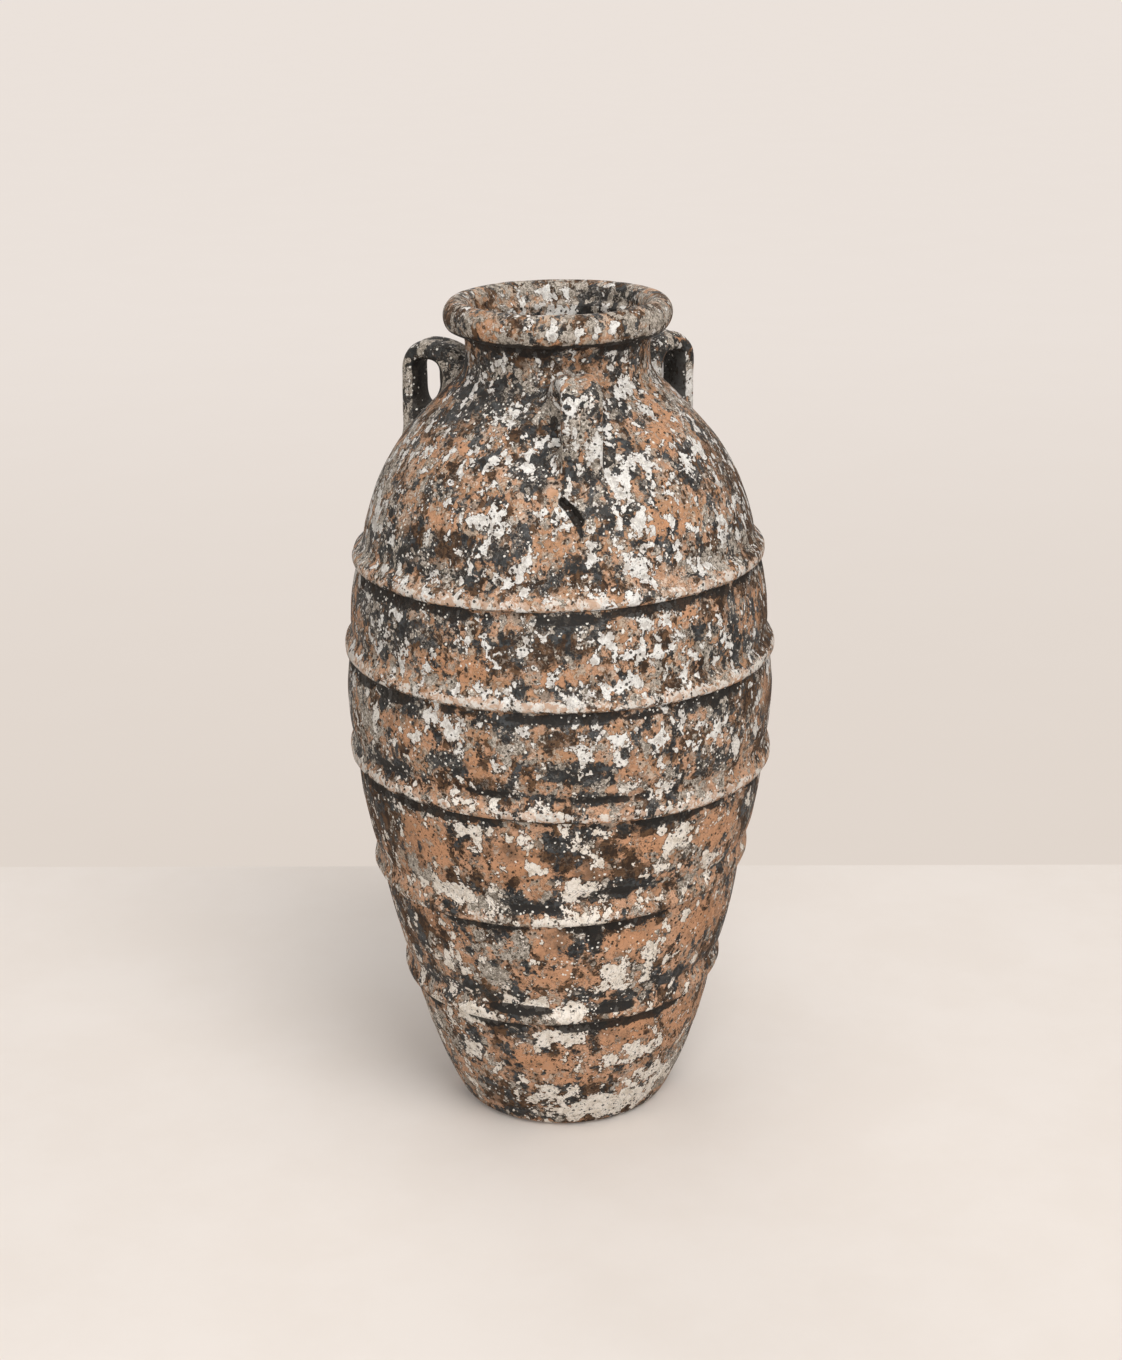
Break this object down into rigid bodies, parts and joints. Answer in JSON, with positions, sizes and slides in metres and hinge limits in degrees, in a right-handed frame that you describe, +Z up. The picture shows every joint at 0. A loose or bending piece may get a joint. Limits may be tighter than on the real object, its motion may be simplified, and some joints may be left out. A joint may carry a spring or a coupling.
{
  "type": "terracotta storage jar",
  "caption": "Tall ovoid storage jar with a rolled rim, raised bands over its wall joints and strap handles on the shoulder.",
  "frame": {"origin": "centre of the flat foot, on the floor", "axes": "+Z up the jar's axis to the mouth, -Y towards the front handle"},
  "size_m": [0.4103, 0.4104, 0.8],
  "materials": {
    "clay": "unglazed, weathered",
    "pale_clay": "unglazed, lime-stained",
    "grey_clay": "unglazed, sooty"
  },
  "bodies": {
    "root": {"base_slab": "clay", "wall_ring_1": "clay", "wall_ring_2": "clay", "wall_ring_3": "clay", "wall_ring_4": "clay", "wall_ring_5": "clay", "shoulder": "clay", "neck": "clay", "rim": "pale_clay", "band_1": "pale_clay", "band_2": "pale_clay", "band_3": "pale_clay", "band_4": "pale_clay", "band_5": "pale_clay", "handle_front": "grey_clay", "handle_left": "grey_clay", "handle_right": "grey_clay"}
  },
  "joints": []
}
